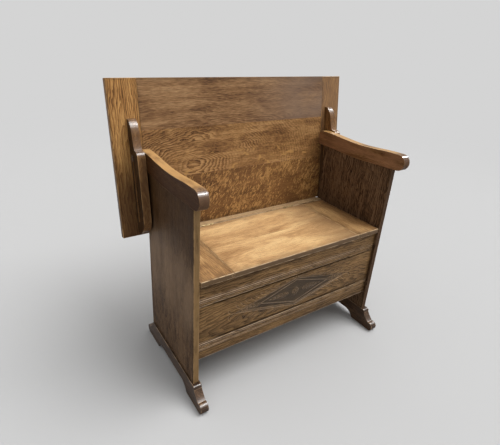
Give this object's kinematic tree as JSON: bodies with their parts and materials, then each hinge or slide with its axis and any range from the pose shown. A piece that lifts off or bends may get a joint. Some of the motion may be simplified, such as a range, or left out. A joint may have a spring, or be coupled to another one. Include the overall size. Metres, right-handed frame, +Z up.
{
  "type": "monk's bench",
  "caption": "Oak bench with a chest under a hinged seat and sled feet, whose leaning back lifts, tips and slides forward on pegs to lie on the arms as a table top.",
  "frame": {"origin": "centre of the footprint of the whole object, on the floor", "axes": "+X to the right of someone facing the front, -Y out of the front, +Z up"},
  "size_m": [0.976, 0.5094, 0.9569],
  "materials": {
    "dark_oak": "fumed oak, waxed",
    "brown_oak": "fumed oak, waxed",
    "seat_oak": "worn oak, waxed",
    "plain_oak": "unpolished oak",
    "brass": "tarnished",
    "steel": "dull"
  },
  "bodies": {
    "base": {"left_side_panel": "dark_oak", "right_side_panel": "dark_oak", "left_foot": "dark_oak", "right_foot": "dark_oak", "left_arm": "dark_oak", "right_arm": "dark_oak", "front_panel": "brown_oak", "back_panel": "plain_oak", "box_floor": "plain_oak", "seat_rail": "brown_oak", "left_floor_batten": "plain_oak", "right_floor_batten": "plain_oak", "left_lid_batten": "plain_oak", "right_lid_batten": "plain_oak", "left_hinge_rail_leaf": "brass", "right_hinge_rail_leaf": "brass", "left_hinge_pin": "steel", "right_hinge_pin": "steel", "left_hinge_rail_leaf_screw_a": "steel", "left_hinge_rail_leaf_screw_b": "steel", "right_hinge_rail_leaf_screw_a": "steel", "right_hinge_rail_leaf_screw_b": "steel"},
    "lid": {"lid_front_board": "seat_oak", "lid_rear_board": "seat_oak", "lid_left_clamp": "seat_oak", "lid_right_clamp": "seat_oak", "left_hinge_lid_leaf": "brass", "right_hinge_lid_leaf": "brass", "left_hinge_lid_leaf_screw_a": "steel", "left_hinge_lid_leaf_screw_b": "steel", "right_hinge_lid_leaf_screw_a": "steel", "right_hinge_lid_leaf_screw_b": "steel"},
    "pivot_pins": {"left_pivot_peg": "dark_oak", "right_pivot_peg": "dark_oak"},
    "top": {"top_lower_board": "brown_oak", "top_middle_board": "brown_oak", "top_upper_board": "brown_oak", "top_left_clamp": "brown_oak", "top_right_clamp": "brown_oak", "left_bearer": "brown_oak", "right_bearer": "brown_oak", "left_lower_pellet": "brown_oak", "left_upper_pellet": "brown_oak", "right_lower_pellet": "brown_oak", "right_upper_pellet": "brown_oak", "left_lower_bearer_screw": "steel", "left_upper_bearer_screw": "steel", "right_lower_bearer_screw": "steel", "right_upper_bearer_screw": "steel"}
  },
  "joints": [
    {"name": "lid_hinge", "type": "hinge", "parent": "base", "child": "lid", "pos_m": [0, 0.12987, 0.4507], "axis": [-1, 0, 0], "range_deg": [0, 60]},
    {"name": "top_tilt", "type": "hinge", "parent": "base", "child": "pivot_pins", "pos_m": [0, 0.17707, 0.7213], "axis": [1, 0, 0], "range_deg": [0, 98]},
    {"name": "top_slide", "type": "slide", "parent": "pivot_pins", "child": "top", "axis": [0, 0.1392, 0.9903], "range_m": [0, 0.2086]}
  ]
}
